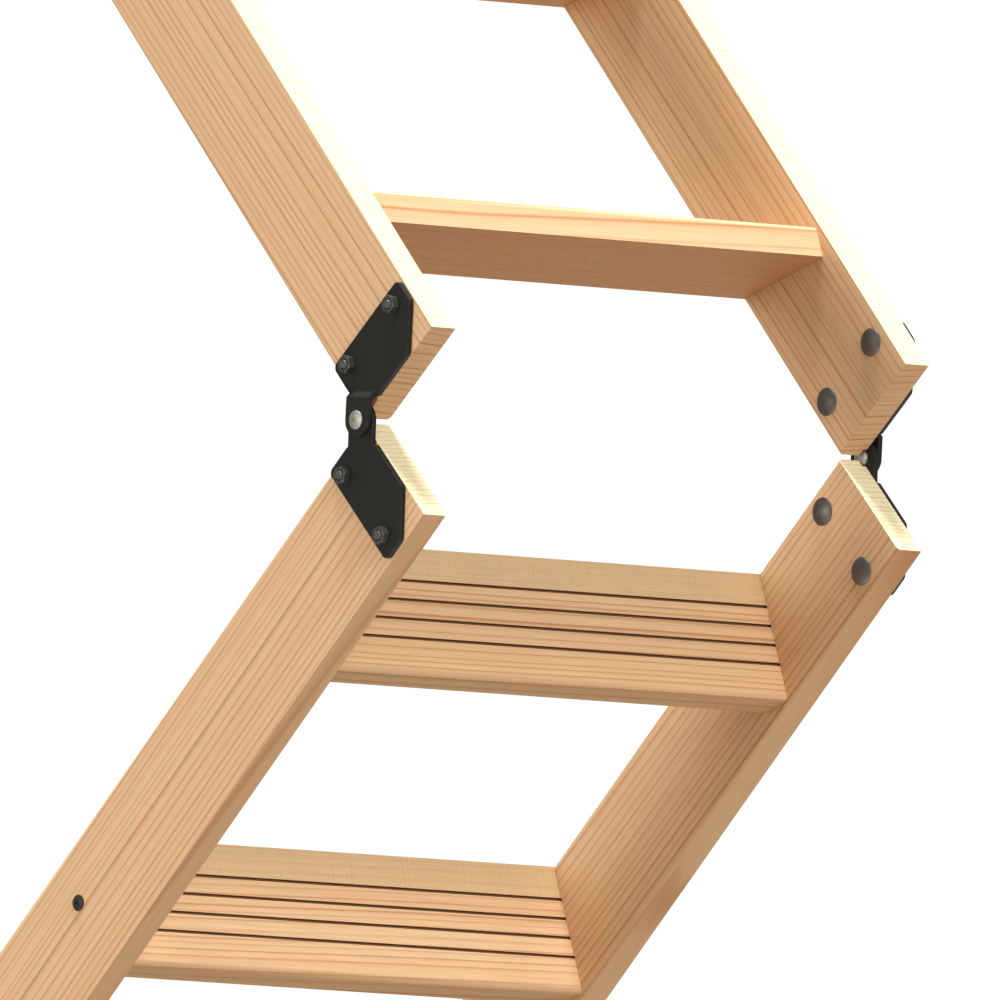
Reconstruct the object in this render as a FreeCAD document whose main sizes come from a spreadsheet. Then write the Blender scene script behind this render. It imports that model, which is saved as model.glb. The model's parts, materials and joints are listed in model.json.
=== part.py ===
import FreeCAD, Part
import os
import Sketcher
from FreeCAD import Vector

# Attic ladder: three equal wooden sections joined by two pairs of steel hinges.
#
# Every section is designed in its own frame: X from left to right with 0 on the centre line,
# Z up along the stringers from the section's lower end, and Y = 0 on the stringers' back edges,
# with the front edges at Y = -stringer_depth.  The row frame has +Z straight up and the climber's
# side at -Y.  Its origin lies on the hatch, midway between the two upper brackets.
#
# All sizes are millimetres or degrees.
SIZES = {
    # The whole ladder.
    "slope": 66,                  # of the standing ladder, from the horizontal
    "knee_fold": 88.5,            # how far the bottom section is folded back at rest
    "ladder_width": 406.5,        # over the outer faces of the stringers
    "section_length": 1000,
    "end_gap": 2,                 # between the ends of two sections in line
    # Stringers.
    "stringer_thickness": 19.5,
    "stringer_depth": 78.5,
    "stringer_rounding": 3,
    # Treads.
    "tread_count": 4,
    "tread_pitch": 250,
    "tread_thickness": 20,
    "tread_rounding": 4,
    "tread_back_inset": 0.6,      # behind which the stringers' back edges stand
    "tread_front_inset": 2.1,     # from the stringers' front edges to the tread's upper edge
    "groove_count": 4,
    "groove_start": 20.5,         # from the tread's upper back edge
    "groove_pitch": 12.6,
    "groove_width": 2,
    "groove_depth": 2,
    "cutter_run_out": 1,          # how far a cutting tool passes the face that it leaves by
    "housing_depth": 6,
    "housing_clearance": 0.15,
    # Hinge leaves and their eyes.
    "leaf_thickness": 3.5,
    "leaf_length": 40.5,
    "leaf_inset": 1.8,            # from the stringer's edge on the hinge pin's side
    "leaf_far_inset": 1,          # from the stringer's other edge
    "leaf_bevel": 23,
    "leaf_rounding": 4,
    "leaf_neck": 18.5,            # from the leaf's corner to both ends of the neck's root
    "pin_outset": 1.2,             # of the hinge pin from the stringers' edges
    "tongue_angle": 45,
    "tongue_root": 18,            # from the pin's axis into the leaf
    "tongue_width": 20,
    "eye_diameter": 22,
    "joggle_start": 12.2,         # from the pin's axis to the foot and head of the joggle's ramp
    "joggle_end": 16,
    "joggle_setback": 1.5,
    "sliding_gap": 0.3,
    # Hinge rivets.
    "rivet_diameter": 8,
    "rivet_clearance": 0.05,
    "rivet_head_diameter": 11.5,
    "rivet_head_height": 1.8,
    "rivet_tail_diameter": 10.5,
    "rivet_tail_height": 2.2,
    "relief_clearance": 1,
    # Carriage bolts and their nuts.
    "bolt_diameter": 6,
    "bolt_hole": 6.5,
    "bolt_head_diameter": 17.3,
    "bolt_head_height": 3.3,
    "bolt_neck_length": 4,
    "neck_clearance": 0.2,
    "bolt_setback": 31.4,         # from the end of the section
    "bolt_edge_distance": 13.4,
    "bolt_protrusion": 0.6,
    "nut_width": 10,
    "nut_height": 5,
    "nut_clearance": 0.06,
    # Screws that tie the stringers to the inner treads.
    "tie_diameter": 5,
    "tie_length": 55,
    "tie_head_diameter": 10,
    "tie_head_height": 2.2,
    "tie_back_distance": 30,      # from the stringers' back edges
    "tie_drop": 4.4,              # below the middle of the tread's thickness
    "tie_hole_rest": 2,           # of the pilot hole past the screw's point
    "screw_clearance": 0.1,
    # Angle brackets that hold the top section on the hatch.
    "bracket_length": 60,
    "bracket_thickness": 3,
    "bracket_side_width": 42,
    "bracket_base_width": 32,
    "bracket_rounding": 5,
    "bracket_upper_setback": 60,  # from the section's upper end to the bracket's middle
    "bracket_lower_setback": 300,  # from the section's lower end to the bracket's middle
    "bracket_hole_diameter": 6.5,
    "bracket_hole_spacing": 36,
    "bracket_screw_diameter": 5,
    "bracket_screw_length": 15,
    "bracket_screw_head_diameter": 10,
    "bracket_screw_head_height": 2.5,
    # Foot caps on the bottom section.
    "cap_length": 40,
    "cap_wall": 2.4,
    "cap_back_wall": 1.8,
    "cap_sole": 5,
    "cap_clearance": 0.2,
    "cap_rounding": 2,
    "cap_screw_setback": 22,
    "cap_screw_diameter": 4,
    "cap_screw_length": 14,
    "cap_screw_head_diameter": 8,
    "cap_screw_head_height": 2,
}

SIDES = {"left": -1, "right": 1}
TIED_TREADS = (2, 3)              # the inner ones of a section, counted from its lower end
STRAIGHT = 0.999                  # least share of an edge's direction that counts as along an axis

# Lengths that several pieces share, worked out from the sheet.
BACK_TILT = "(90 - dims.slope)"
HALF_WIDTH = "dims.ladder_width / 2"
INNER_HALF_WIDTH = "(dims.ladder_width / 2 - dims.stringer_thickness)"
TREAD_LENGTH = f"(2 * ({INNER_HALF_WIDTH} + dims.housing_depth))"
TREAD_DEPTH = ("((dims.stringer_depth - dims.tread_back_inset - dims.tread_front_inset)"
               f" / cos({BACK_TILT}))")
TREAD_BACK_SLANT = f"(dims.tread_thickness * tan({BACK_TILT}))"
FIRST_TREAD = "((dims.section_length - (dims.tread_count - 1) * dims.tread_pitch) / 2)"
TREAD_RISE = (f"(dims.tread_thickness / 2 / cos({BACK_TILT})"
              f" + (dims.stringer_depth / 2 - dims.tread_back_inset) * tan({BACK_TILT}))")
FIRST_TREAD_EDGE = f"({FIRST_TREAD} + {TREAD_RISE})"
LEAF_OUTER_STACK = "(2 * dims.leaf_thickness + dims.sliding_gap)"
SECTION_STEP = "(dims.section_length + dims.end_gap)"
BRACKET_HEIGHTS = {
    "upper": "(dims.section_length - dims.bracket_upper_setback)",
    "lower": "dims.bracket_lower_setback",
}

# Knee axis in the row frame: down the ladder from the hatch, whose face is the brackets' base.
KNEE_BELOW_HATCH = (f"({BRACKET_HEIGHTS['upper']} + {SECTION_STEP} + dims.end_gap / 2)")
KNEE_BEHIND_HATCH = "(dims.pin_outset - dims.bracket_thickness)"
KNEE_PLACEMENT = (
    f"placement(vector(0; 0; 0); rotation(vector(1; 0; 0); -{BACK_TILT}))"
    f" * placement(vector(0; {KNEE_BEHIND_HATCH}; -{KNEE_BELOW_HATCH}); rotation(vector(1; 0; 0); 0))"
)

document = FreeCAD.newDocument("attic_ladder")


def make_sheet(sizes):
    """Write each size into the sheet as plain text, with its name as the alias."""
    new_sheet = document.addObject("Spreadsheet::Sheet", "dims")
    for row, (name, value) in enumerate(sizes.items(), 1):
        new_sheet.set(f"A{row}", name)
        new_sheet.set(f"B{row}", str(value))
        new_sheet.setAlias(f"B{row}", name)
    document.recompute()
    return new_sheet


sheet = make_sheet(SIZES)
nodes = []


def measure(expression):
    """The present value of an expression over the sheet's sizes."""
    return float(sheet.evalExpression(str(expression)))


def at(x, y, z, turn=0, axis=(1, 0, 0)):
    """A placement, as an expression: a turn about an axis, then a shift."""
    return (f"placement(vector({x}; {y}; {z});"
            f" rotation(vector({axis[0]}; {axis[1]}; {axis[2]}); {turn}))")


SECTION_FRAMES = {
    "top": f"{KNEE_PLACEMENT} * "
           + at(0, "-dims.pin_outset", f"dims.end_gap / 2 + {SECTION_STEP}"),
    "middle": f"{KNEE_PLACEMENT} * " + at(0, "-dims.pin_outset", "dims.end_gap / 2"),
    "bottom": f"{KNEE_PLACEMENT} * " + at(0, 0, 0, "dims.knee_fold") + " * "
              + at(0, "-dims.pin_outset", "-(dims.section_length + dims.end_gap / 2)"),
}


# ---------------------------------------------------------------- sketches and features

def origin_feature(body, role):
    return next(item for item in body.Origin.OriginFeatures if item.Role == role)


def new_body(label, placement=None):
    body = document.addObject("PartDesign::Body", label)
    body.Label = label
    if placement:
        body.setExpression("Placement", placement)
        nodes.append(body)
    return body


def new_sketch(body, role, name, offset=None):
    sketch = body.newObject("Sketcher::SketchObject", f"{body.Name}_{name}")
    sketch.AttachmentSupport = [(origin_feature(body, role), "")]
    sketch.MapMode = "FlatFace"
    if offset:
        sketch.setExpression("AttachmentOffset", offset)
    return sketch


def bind(sketch, kind, references, value, name):
    """Add one dimension to a sketch and tie it to an expression."""
    number = sketch.addConstraint(Sketcher.Constraint(kind, *references, measure(value)))
    sketch.renameConstraint(number, name)
    sketch.setExpression(f"Constraints.{name}", value)


def draw_outline(sketch, corners):
    """Draw a closed outline through corners given as pairs of expressions.

    A corner with a third item is where an arc to the next corner starts: that item holds the
    arc's centre, about which it runs counterclockwise, and its radius.
    """
    points = [Vector(measure(corner[0]), measure(corner[1]), 0) for corner in corners]
    count = len(points)
    first = sketch.GeometryCount
    for index, point in enumerate(points):
        following = points[(index + 1) % count]
        if len(corners[index]) == 3:
            centre = Vector(*[measure(value) for value in corners[index][2][:2]], 0)
            circle = Part.Circle(centre, Vector(0, 0, 1), (point - centre).Length)
            ends = [circle.parameter(point), circle.parameter(following)]
            sketch.addGeometry(Part.ArcOfCircle(circle, *ends), False)
        else:
            sketch.addGeometry(Part.LineSegment(point, following), False)
    for index in range(count):
        follower = first + (index + 1) % count
        sketch.addConstraint(Sketcher.Constraint("Coincident", first + index, 2, follower, 1))
    for index, corner in enumerate(corners):
        line = first + index
        bind(sketch, "DistanceX", (-1, 1, line, 1), f"{corner[0]}", f"across{line}")
        bind(sketch, "DistanceY", (-1, 1, line, 1), f"{corner[1]}", f"up{line}")
        if len(corner) == 3:
            bind(sketch, "Radius", (line,), f"{corner[2][2]}", f"radius{line}")


def draw_circle(sketch, centre, diameter):
    """Draw a circle whose centre is a pair of expressions."""
    across, up = centre
    point = Vector(measure(across), measure(up), 0)
    index = sketch.GeometryCount
    sketch.addGeometry(Part.Circle(point, Vector(0, 0, 1), measure(diameter) / 2), False)
    bind(sketch, "DistanceX", (-1, 1, index, 3), f"{across}", f"across{index}")
    bind(sketch, "DistanceY", (-1, 1, index, 3), f"{up}", f"up{index}")
    bind(sketch, "Diameter", (index,), f"{diameter}", f"diameter{index}")


def rectangle(low_across, low_up, high_across, high_up):
    return [(low_across, low_up), (high_across, low_up),
            (high_across, high_up), (low_across, high_up)]


def pad(body, sketch, length, towards=1, symmetric=False):
    """Raise a sketch along its normal, against it (towards < 0), or half each way."""
    feature = body.newObject("PartDesign::Pad", f"{sketch.Name}_pad")
    feature.Profile = sketch
    feature.setExpression("Length", f"{length}")
    feature.Reversed = towards < 0
    if symmetric:
        feature.SideType = "Symmetric"
    document.recompute()
    return feature


def cut(body, sketch, length, towards=1, symmetric=False):
    """Sink a sketch along its normal, against it (towards < 0), or half each way."""
    before = body.Shape.Volume
    feature = body.newObject("PartDesign::Pocket", f"{sketch.Name}_cut")
    feature.Profile = sketch
    feature.setExpression("Length", f"{length}")
    feature.Reversed = towards > 0
    if symmetric:
        feature.SideType = "Symmetric"
    document.recompute()
    if not body.Shape.Volume < before:
        raise RuntimeError(f"{feature.Name} removes nothing")
    return feature


def round_edges(body, radius, chosen):
    """Fillet the body's straight edges for which chosen(middle point, direction) holds."""
    base = body.Tip
    names = []
    for number, edge in enumerate(base.Shape.Edges, 1):
        if edge.Curve.TypeId != "Part::GeomLine":
            continue
        ends = [vertex.Point for vertex in edge.Vertexes]
        if chosen((ends[0] + ends[1]) / 2, (ends[1] - ends[0]).normalize()):
            names.append(f"Edge{number}")
    if not names:
        raise RuntimeError(f"{body.Label} has no edge to round")
    fillet = body.newObject("PartDesign::Fillet", f"{body.Name}_rounding")
    fillet.Base = (base, names)
    fillet.setExpression("Radius", f"{radius}")
    document.recompute()
    return fillet


def primitive(kind, label, placement=None, **expressions):
    """A Part primitive whose properties are bound to expressions."""
    thing = document.addObject(f"Part::{kind}", label)
    for name, expression in expressions.items():
        thing.setExpression(name, f"{expression}")
    if placement:
        thing.setExpression("Placement", placement)
    return thing


# ---------------------------------------------------------------- fasteners

def dome(label, diameter, height, lift):
    """A low dome whose flat side lies at z = lift."""
    radius = f"(({diameter} / 2)^2 + ({height})^2) / (2 * {height})"
    drop = f"({radius} - {height})"
    return primitive("Sphere", label, at(0, 0, f"{lift} - {drop}"),
                     Radius=radius, Angle1=f"asin({drop} / ({radius}))")


def shank(label, diameter, length, start=0):
    """A round shank from z = start down to z = start - length."""
    return primitive("Cylinder", label, at(0, 0, f"{start} - ({length})"),
                     Radius=f"{diameter} / 2", Height=length)


def fuse(label, pieces):
    whole = document.addObject("Part::MultiFuse", label)
    whole.Shapes = pieces
    return whole


def make_screw(label, diameter, length, head_diameter, head_height):
    """A domed screw: the head sits on z = 0 and the shank runs down."""
    return fuse(label, [dome(f"{label}_head", head_diameter, head_height, 0),
                        shank(f"{label}_shank", diameter, length)])


def make_carriage_bolt():
    """A carriage bolt: domed head on z = 0, square neck and shank below it."""
    half_neck = "dims.bolt_diameter / 2"
    neck = primitive("Box", "carriage_bolt_neck",
                     at(f"-{half_neck}", f"-{half_neck}", "-dims.bolt_neck_length"),
                     Length="dims.bolt_diameter", Width="dims.bolt_diameter",
                     Height="dims.bolt_neck_length")
    reach = ("dims.stringer_thickness + dims.leaf_thickness + dims.nut_height"
             " + dims.bolt_protrusion")
    head = dome("carriage_bolt_head", "dims.bolt_head_diameter", "dims.bolt_head_height", 0)
    return fuse("carriage_bolt",
                [head, neck, shank("carriage_bolt_shank", "dims.bolt_diameter", reach)])


def make_nut():
    """A hexagon nut standing on z = 0."""
    nut = new_body("hex_nut")
    circumradius = "(dims.nut_width / 2 / cos(30))"
    hexagon = [(f"{circumradius} * cos({60 * index})", f"{circumradius} * sin({60 * index})")
               for index in range(6)]
    sketch = new_sketch(nut, "XY_Plane", "outline")
    draw_outline(sketch, hexagon)
    draw_circle(sketch, ("0", "0"), "(dims.bolt_diameter + 2 * dims.nut_clearance)")
    pad(nut, sketch, "dims.nut_height")
    return nut


def make_rivet():
    """A hinge rivet: its head stands on z = 0 and its tail lies inside the lower leaf's eye."""
    grip = f"({LEAF_OUTER_STACK})"
    return fuse("hinge_rivet", [
        dome("hinge_rivet_head", "dims.rivet_head_diameter", "dims.rivet_head_height", 0),
        shank("hinge_rivet_shank", "dims.rivet_diameter", grip),
        shank("hinge_rivet_tail", "dims.rivet_tail_diameter", "dims.rivet_tail_height",
              f"-{grip}"),
    ])


def group(label, frame, master, placements):
    """One node of equal fasteners, each a separate solid placed in the section's frame."""
    copies = []
    for number, placement in enumerate(placements, 1):
        copy = document.addObject("App::Link", f"{label}_{number}")
        copy.LinkedObject = master
        copy.setExpression("Placement", placement)
        copies.append(copy)
    whole = document.addObject("Part::Compound", label)
    whole.Label = label
    whole.Links = copies
    whole.setExpression("Placement", frame)
    nodes.append(whole)
    return whole


def pointing(side, x, y, z, outward=True):
    """A fastener's placement at (x, y, z) with its head turned outward or inward."""
    turn = 90 * side if outward else -90 * side
    return at(x, y, z, turn, (0, 1, 0))


# ---------------------------------------------------------------- stringers

def joint_ends(section):
    """The section's hinged ends: (end, edge), end +1 for the upper, edge -1 for the front."""
    ends = []
    if section == "bottom":
        ends.append((1, 1))
    if section == "middle":
        ends.append((-1, 1))
        ends.append((1, -1))
    if section == "top":
        ends.append((-1, -1))
    return ends


def from_end(end, distance):
    """Height in the section's frame of a point that far inside its lower or upper end."""
    return f"({distance})" if end < 0 else f"(dims.section_length - ({distance}))"


def from_edge(edge, distance):
    """Y in the section's frame of a point that far inside its back or front edge."""
    return f"(-({distance}))" if edge > 0 else f"(-dims.stringer_depth + ({distance}))"


def bolt_places(end, edge):
    near = from_edge(edge, "dims.bolt_edge_distance")
    far = from_edge(-edge, "dims.bolt_edge_distance")
    height = from_end(end, "dims.bolt_setback")
    return [(near, height), (far, height)]


def tie_places():
    """Where the tie screws of the inner treads pass through the stringers."""
    shift = (f"((dims.stringer_depth / 2 - dims.tie_back_distance) * tan({BACK_TILT})"
             f" - dims.tie_drop / cos({BACK_TILT}))")
    return [("(-dims.tie_back_distance)",
             f"({FIRST_TREAD} + {number - 1} * dims.tread_pitch + {shift})")
            for number in TIED_TREADS]


def bracket_screw_places():
    across = "(-dims.bracket_side_width / 2)"
    half = "dims.bracket_hole_spacing / 2"
    return [(across, f"({height} {sign} {half})")
            for height in BRACKET_HEIGHTS.values() for sign in ("-", "+")]


def cap_screw_place():
    return [("(-dims.stringer_depth / 2)", "dims.cap_screw_setback")]


def drill(body, side, name, places, diameter, depth, from_face=HALF_WIDTH, inward=True):
    """Round holes into a stringer from its outer face, or from another plane of that side."""
    sketch = new_sketch(body, "YZ_Plane", name, at(0, 0, f"{side} * {from_face}"))
    for place in places:
        draw_circle(sketch, place, diameter)
    cut(body, sketch, depth, -side if inward else side)


def tread_outline(clearance, open_back):
    """The tread's section about its upper back edge, grown by a clearance.

    Y runs to the back and Z up, both along the level tread.  The back face slants with the
    stringers' back edges.  A housing is open there, so its outline runs on past them.
    """
    lift = clearance
    front = f"(-({TREAD_DEPTH}) - {clearance})"
    bottom = f"(-dims.tread_thickness - {clearance})"
    run_out = "dims.tread_back_inset + dims.cutter_run_out" if open_back else "0"
    slope_run = f"tan({BACK_TILT})"
    back_top = f"(({run_out}) / cos({BACK_TILT}) + {lift} * {slope_run})"
    back_bottom = f"(({run_out}) / cos({BACK_TILT}) + ({bottom}) * {slope_run})"
    radius = f"(dims.tread_rounding + {clearance})"
    nose = (f"{front} + {radius}", f"{lift} - {radius}", radius)
    return [(back_top, lift), (nose[0], lift, nose), (front, nose[1]), (front, bottom),
            (back_bottom, bottom)]


def add_housings(body, side):
    """Cut the slots that hold the tread ends, one above the other."""
    start = at("-dims.tread_back_inset", FIRST_TREAD_EDGE, f"{side} * {INNER_HALF_WIDTH}",
               BACK_TILT, (0, 0, 1))
    sketch = new_sketch(body, "YZ_Plane", "housing", start)
    draw_outline(sketch, tread_outline("dims.housing_clearance", True))
    housing = cut(body, sketch, "dims.housing_depth", side)
    pattern = body.newObject("PartDesign::LinearPattern", f"{body.Name}_housings")
    pattern.Originals = [housing]
    pattern.Direction = (origin_feature(body, "Z_Axis"), [""])
    pattern.setExpression("Length", "(dims.tread_count - 1) * dims.tread_pitch")
    pattern.setExpression("Occurrences", "dims.tread_count")
    body.Tip = pattern
    document.recompute()


def is_rounded(section, middle, direction):
    """True for a stringer's back edges, and for the bottom section's inner front edges."""
    if abs(direction.z) < STRAIGHT:
        return False
    at_back = middle.y > -measure("dims.stringer_depth") / 2
    inner = abs(middle.x) < measure("dims.ladder_width - dims.stringer_thickness") / 2
    return at_back or (section == "bottom" and inner)


def make_stringer(section, side_name):
    side = SIDES[side_name]
    body = new_body(f"{section}_{side_name}_stringer", SECTION_FRAMES[section])
    profile = new_sketch(body, "XY_Plane", "profile")
    draw_outline(profile, rectangle(f"{side} * {INNER_HALF_WIDTH}", "-dims.stringer_depth",
                                    f"{side} * {HALF_WIDTH}", "0"))
    pad(body, profile, "dims.section_length")
    round_edges(body, "dims.stringer_rounding",
                lambda middle, direction: is_rounded(section, middle, direction))
    add_housings(body, side)
    for end, edge in joint_ends(section):
        name = "upper" if end > 0 else "lower"
        places = bolt_places(end, edge)
        drill(body, side, f"{name}_bolts", places, "dims.bolt_hole", "dims.stringer_thickness")
        add_neck_squares(body, side, name, places)
        pin_place = (from_edge(edge, "-dims.pin_outset"), from_end(end, "-dims.end_gap / 2"))
        drill(body, side, f"{name}_relief", [pin_place],
              "(dims.rivet_tail_diameter + 2 * dims.relief_clearance)",
              "(dims.rivet_tail_height + 2 * dims.sliding_gap)")
    drill(body, side, "ties", tie_places(), "(dims.tie_diameter + 2 * dims.screw_clearance)",
          "dims.stringer_thickness")
    if section == "top":
        drill(body, side, "bracket_screws", bracket_screw_places(),
              "(dims.bracket_screw_diameter + 2 * dims.screw_clearance)",
              "(dims.bracket_screw_length - dims.bracket_thickness + dims.cutter_run_out)")
    if section == "bottom":
        drill(body, side, "cap_screw", cap_screw_place(),
              "(dims.cap_screw_diameter + 2 * dims.screw_clearance)",
              "(dims.cap_screw_length - dims.cap_wall + dims.cutter_run_out)")


def add_neck_squares(body, side, name, places):
    """Square seats for the carriage bolts' necks, sunk from the inner face."""
    sketch = new_sketch(body, "YZ_Plane", f"{name}_squares",
                        at(0, 0, f"{side} * {INNER_HALF_WIDTH}"))
    half = "(dims.bolt_diameter / 2 + dims.neck_clearance)"
    for across, up in places:
        draw_outline(sketch, rectangle(f"{across} - {half}", f"{up} - {half}",
                                       f"{across} + {half}", f"{up} + {half}"))
    cut(body, sketch, "(dims.bolt_neck_length + dims.neck_clearance)", side)


# ---------------------------------------------------------------- treads

def make_tread(section, number):
    """A grooved tread, drawn level about its upper back edge."""
    height = f"({FIRST_TREAD_EDGE} + {number - 1} * dims.tread_pitch)"
    frame = f"{SECTION_FRAMES[section]} * " + at(0, "-dims.tread_back_inset", height, BACK_TILT)
    body = new_body(f"{section}_tread_{number}", frame)
    profile = new_sketch(body, "YZ_Plane", "profile")
    draw_outline(profile, tread_outline("0", False))
    pad(body, profile, TREAD_LENGTH, symmetric=True)
    grooves = new_sketch(body, "YZ_Plane", "grooves")
    for index in range(int(measure("dims.groove_count"))):
        back = f"-(dims.groove_start + {index} * dims.groove_pitch)"
        draw_outline(grooves, rectangle(f"{back} - dims.groove_width", "-dims.groove_depth",
                                        back, "0"))
    cut(body, grooves, f"{TREAD_LENGTH} + 2 * dims.cutter_run_out", symmetric=True)
    if number in TIED_TREADS:
        add_tie_holes(body)


def add_tie_holes(body):
    """A pilot hole into each end of the tread, in line with the stringers' tie holes."""
    height = "(-dims.tread_thickness / 2 - dims.tie_drop)"
    across = (f"(-(dims.tie_back_distance - dims.tread_back_inset) / cos({BACK_TILT})"
              f" + {height} * tan({BACK_TILT}))")
    depth = ("(dims.tie_length - dims.stringer_thickness + dims.housing_depth"
             " + dims.tie_hole_rest)")
    for side_name, side in SIDES.items():
        sketch = new_sketch(body, "YZ_Plane", f"{side_name}_tie",
                            at(0, 0, f"{side} * {TREAD_LENGTH} / 2"))
        draw_circle(sketch, (across, height), "(dims.tie_diameter + 2 * dims.screw_clearance)")
        cut(body, sketch, depth, -side)


# ---------------------------------------------------------------- hinges

def hinge_frame(section, side, end, edge):
    """The pin's axis on the plane of the stringer's outer face, in the section's frame."""
    return f"{SECTION_FRAMES[section]} * " + at(
        f"{side} * {HALF_WIDTH}", from_edge(edge, "-dims.pin_outset"),
        from_end(end, "-dims.end_gap / 2"))


def leaf_point(end, edge, along, across):
    """A point of a leaf, measured from the pin along and across the stringer."""
    return (f"({-edge} * ({across}))", f"({-end} * ({along}))")


def draw_leaf_plate(sketch, end, edge):
    """The plate's outline: its free corner bevelled, the corner at the pin cut to a neck."""
    first = "dims.end_gap / 2"
    near = "(dims.pin_outset + dims.leaf_inset)"
    far = "(dims.pin_outset + dims.stringer_depth - dims.leaf_far_inset)"
    length = f"({first} + dims.leaf_length)"
    corners = [
        (first, f"{near} - dims.leaf_inset + dims.leaf_neck"),
        (first, f"{far} - dims.leaf_bevel"),
        (f"{first} + dims.leaf_bevel", far),
        (length, far),
        (length, near),
        (f"{first} + dims.leaf_neck", near),
    ]
    draw_outline(sketch, [leaf_point(end, edge, *corner) for corner in corners])


def draw_tongue(sketch, end, edge, width):
    """A straight strip from the pin's axis into the plate, along the tongue's diagonal."""
    cosine = "cos(dims.tongue_angle)"
    sine = "sin(dims.tongue_angle)"
    corners = []
    for reach, offset in (("0", "1"), ("dims.tongue_root", "1"),
                          ("dims.tongue_root", "-1"), ("0", "-1")):
        along = f"{reach} * {cosine} + {offset} * {width} / 2 * {sine}"
        across = f"{reach} * {sine} - {offset} * {width} / 2 * {cosine}"
        corners.append(leaf_point(end, edge, along, across))
    draw_outline(sketch, corners)


def make_leaf(label, section, side, end, edge, joggled):
    """One hinge leaf.  The joggled one carries its eye outside the other one's."""
    body = new_body(label, hinge_frame(section, side, end, edge))
    plate = new_sketch(body, "YZ_Plane", "plate")
    draw_leaf_plate(plate, end, edge)
    pad(body, plate, "dims.leaf_thickness", side)
    round_edges(body, "dims.leaf_rounding", lambda middle, direction: abs(direction.x) > STRAIGHT)
    if joggled:
        add_joggled_tongue(body, side, end, edge)
    else:
        add_flat_tongue(body, side, end, edge)
    drill_leaf(body, side, end, edge)


def add_flat_tongue(body, side, end, edge):
    """A tongue in the plate's plane, thinned where it slides over the other stringer."""
    start = at(0, 0, f"{side} * dims.sliding_gap")
    thickness = "(dims.leaf_thickness - dims.sliding_gap)"
    strip = new_sketch(body, "YZ_Plane", "tongue", start)
    draw_tongue(strip, end, edge, "dims.eye_diameter")
    pad(body, strip, thickness, side)
    eye = new_sketch(body, "YZ_Plane", "eye", start)
    draw_circle(eye, ("0", "0"), "dims.eye_diameter")
    pad(body, eye, thickness, side)


def add_joggled_tongue(body, side, end, edge):
    """A tongue that ramps outward and ends in an eye over the other leaf's eye."""
    raised = "(dims.leaf_thickness + dims.sliding_gap)"
    outer = LEAF_OUTER_STACK
    # The sketch's second axis runs from the pin along the tongue.
    ramp = new_sketch(body, "XZ_Plane", "ramp", at(0, 0, 0, tongue_turn(end, edge), (1, 0, 0)))
    profile = [
        (raised, "0"),
        (raised, "dims.joggle_start"),
        ("0", "dims.joggle_end"),
        ("0", "dims.tongue_root"),
        ("dims.leaf_thickness", "dims.tongue_root"),
        ("dims.leaf_thickness", "dims.joggle_end + dims.joggle_setback"),
        (outer, "dims.joggle_start + dims.joggle_setback"),
        (outer, "0"),
    ]
    draw_outline(ramp, [(f"({side} * {across})", up) for across, up in profile])
    pad(body, ramp, "dims.tongue_width", symmetric=True)
    eye = new_sketch(body, "YZ_Plane", "eye", at(0, 0, f"{side} * {raised}"))
    draw_circle(eye, ("0", "0"), "dims.tongue_width")
    pad(body, eye, "dims.leaf_thickness", side)


def tongue_turn(end, edge):
    """Turn about X that lays the upward axis along the tongue's diagonal."""
    if end < 0:
        return f"({edge} * (90 - dims.tongue_angle))"
    return f"({edge} * (90 + dims.tongue_angle))"


def drill_leaf(body, side, end, edge):
    """The pin's hole and the two bolt holes."""
    holes = new_sketch(body, "YZ_Plane", "holes")
    draw_circle(holes, ("0", "0"), "(dims.rivet_diameter + 2 * dims.rivet_clearance)")
    along = "(dims.end_gap / 2 + dims.bolt_setback)"
    far = "(dims.stringer_depth - dims.bolt_edge_distance)"
    for distance in ("dims.bolt_edge_distance", far):
        centre = leaf_point(end, edge, along, f"dims.pin_outset + {distance}")
        draw_circle(holes, centre, "dims.bolt_hole")
    cut(body, holes, f"{LEAF_OUTER_STACK} + dims.cutter_run_out", side)


def make_hinge(name, side_name, upper_section, lower_section, edge):
    """A pair of leaves on one rivet, with their bolts and nuts.

    The upper leaf is at the lower end of the section above, and the lower leaf at the upper
    end of the section below.  The pins stand off the edge: +1 the back one, -1 the front one.
    """
    side = SIDES[side_name]
    prefix = f"{name}_{side_name}"
    head_place = pointing(side, f"{side} * ({HALF_WIDTH} + {LEAF_OUTER_STACK})",
                          from_edge(edge, "-dims.pin_outset"), from_end(-1, "-dims.end_gap / 2"))
    group(f"{prefix}_rivet", SECTION_FRAMES[upper_section], hinge_rivet, [head_place])
    for leaf, section, end in (("upper", upper_section, -1), ("lower", lower_section, 1)):
        label = f"{prefix}_{leaf}_leaf"
        make_leaf(label, section, side, end, edge, leaf == "upper")
        places = bolt_places(end, edge)
        group(f"{prefix}_{leaf}_bolts", SECTION_FRAMES[section], carriage_bolt,
              [pointing(side, f"{side} * {INNER_HALF_WIDTH}", *place, outward=False)
               for place in places])
        group(f"{prefix}_{leaf}_nuts", SECTION_FRAMES[section], hex_nut,
              [pointing(side, f"{side} * ({HALF_WIDTH} + dims.leaf_thickness)", *place)
               for place in places])


# ---------------------------------------------------------------- brackets and caps

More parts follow.
